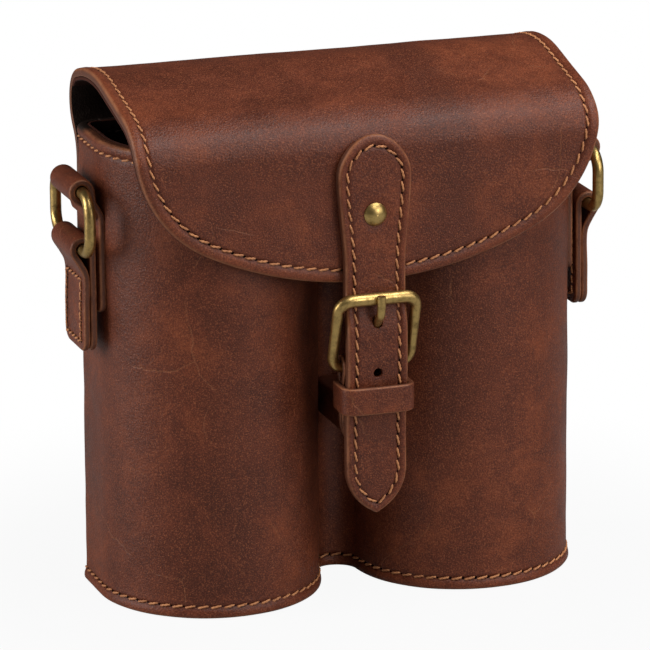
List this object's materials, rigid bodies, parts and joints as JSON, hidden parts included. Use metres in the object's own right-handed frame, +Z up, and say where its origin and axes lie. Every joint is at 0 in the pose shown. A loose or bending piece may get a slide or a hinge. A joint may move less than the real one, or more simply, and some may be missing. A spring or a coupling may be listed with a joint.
{
  "type": "binocular case",
  "caption": "Upright two-lobed leather binocular case with a hinged lid, a buckled closing strap and ring-hung carrying tabs at the sides.",
  "frame": {"origin": "on the floor under the case, in the middle of its overall width and depth", "axes": "+X along the case's width, to the right seen from the front; +Y from the front, where the strap and buckle are, to the flat back; +Z up"},
  "size_m": [0.1818, 0.0862, 0.1735],
  "materials": {
    "body_leather": "waxed reddish brown saddle leather, darker at edges",
    "lid_leather": "waxed reddish brown saddle leather with a soft sheen",
    "strap_leather": "reddish brown strap leather with burnished edges",
    "lining": "matt dark brown lining leather",
    "felt": "dark brown felt",
    "brass": "antiqued, browned brass"
  },
  "bodies": {
    "case": {"front_wall": "body_leather", "back_panel": "body_leather", "base_plate": "body_leather", "body_lining": "lining", "rim_facing": "lining", "base_pad": "felt", "hinge_flap": "lid_leather", "chape_block": "body_leather", "chape": "strap_leather", "chape_rivets": "brass", "keeper_loop": "strap_leather", "left_anchor_strap": "strap_leather", "left_anchor_rivets": "brass", "right_anchor_strap": "strap_leather", "right_anchor_rivets": "brass"},
    "lid": {"lid_shell": "lid_leather", "lid_lining": "lining", "closing_strap": "strap_leather", "strap_rivet_cap": "brass", "strap_rivet_burr": "brass"},
    "buckle": {"buckle_frame": "brass"},
    "prong": {"buckle_prong": "brass"},
    "left_ring": {"left_ring": "brass"},
    "left_tab": {"left_strap_tab": "strap_leather"},
    "right_ring": {"right_ring": "brass"},
    "right_tab": {"right_strap_tab": "strap_leather"}
  },
  "joints": [
    {"name": "lid_hinge", "type": "hinge", "parent": "case", "child": "lid", "pos_m": [0, 0.03762, 0.152], "axis": [-1, 0, 0], "range_deg": [0, 130], "deforming": ["hinge_flap", "closing_strap"]},
    {"name": "buckle_swing", "type": "hinge", "parent": "case", "child": "buckle", "pos_m": [0, -0.03028, 0.0811], "axis": [1, 0, 0], "range_deg": [0, 50]},
    {"name": "prong_swing", "type": "hinge", "parent": "buckle", "child": "prong", "pos_m": [0, -0.03028, 0.0811], "axis": [1, 0, 0], "range_deg": [0, 30]},
    {"name": "left_ring_swing", "type": "hinge", "parent": "case", "child": "left_ring", "pos_m": [-0.08665, 0.01111, 0.1386], "axis": [0, 1, 0], "range_deg": [0, 110]},
    {"name": "left_tab_swing", "type": "hinge", "parent": "left_ring", "child": "left_tab", "pos_m": [-0.08665, 0.01111, 0.1196], "axis": [0, 1, 0], "range_deg": [0, 60]},
    {"name": "right_ring_swing", "type": "hinge", "parent": "case", "child": "right_ring", "pos_m": [0.08665, 0.01111, 0.1386], "axis": [0, -1, 0], "range_deg": [0, 110]},
    {"name": "right_tab_swing", "type": "hinge", "parent": "right_ring", "child": "right_tab", "pos_m": [0.08665, 0.01111, 0.1196], "axis": [0, -1, 0], "range_deg": [0, 60]}
  ]
}
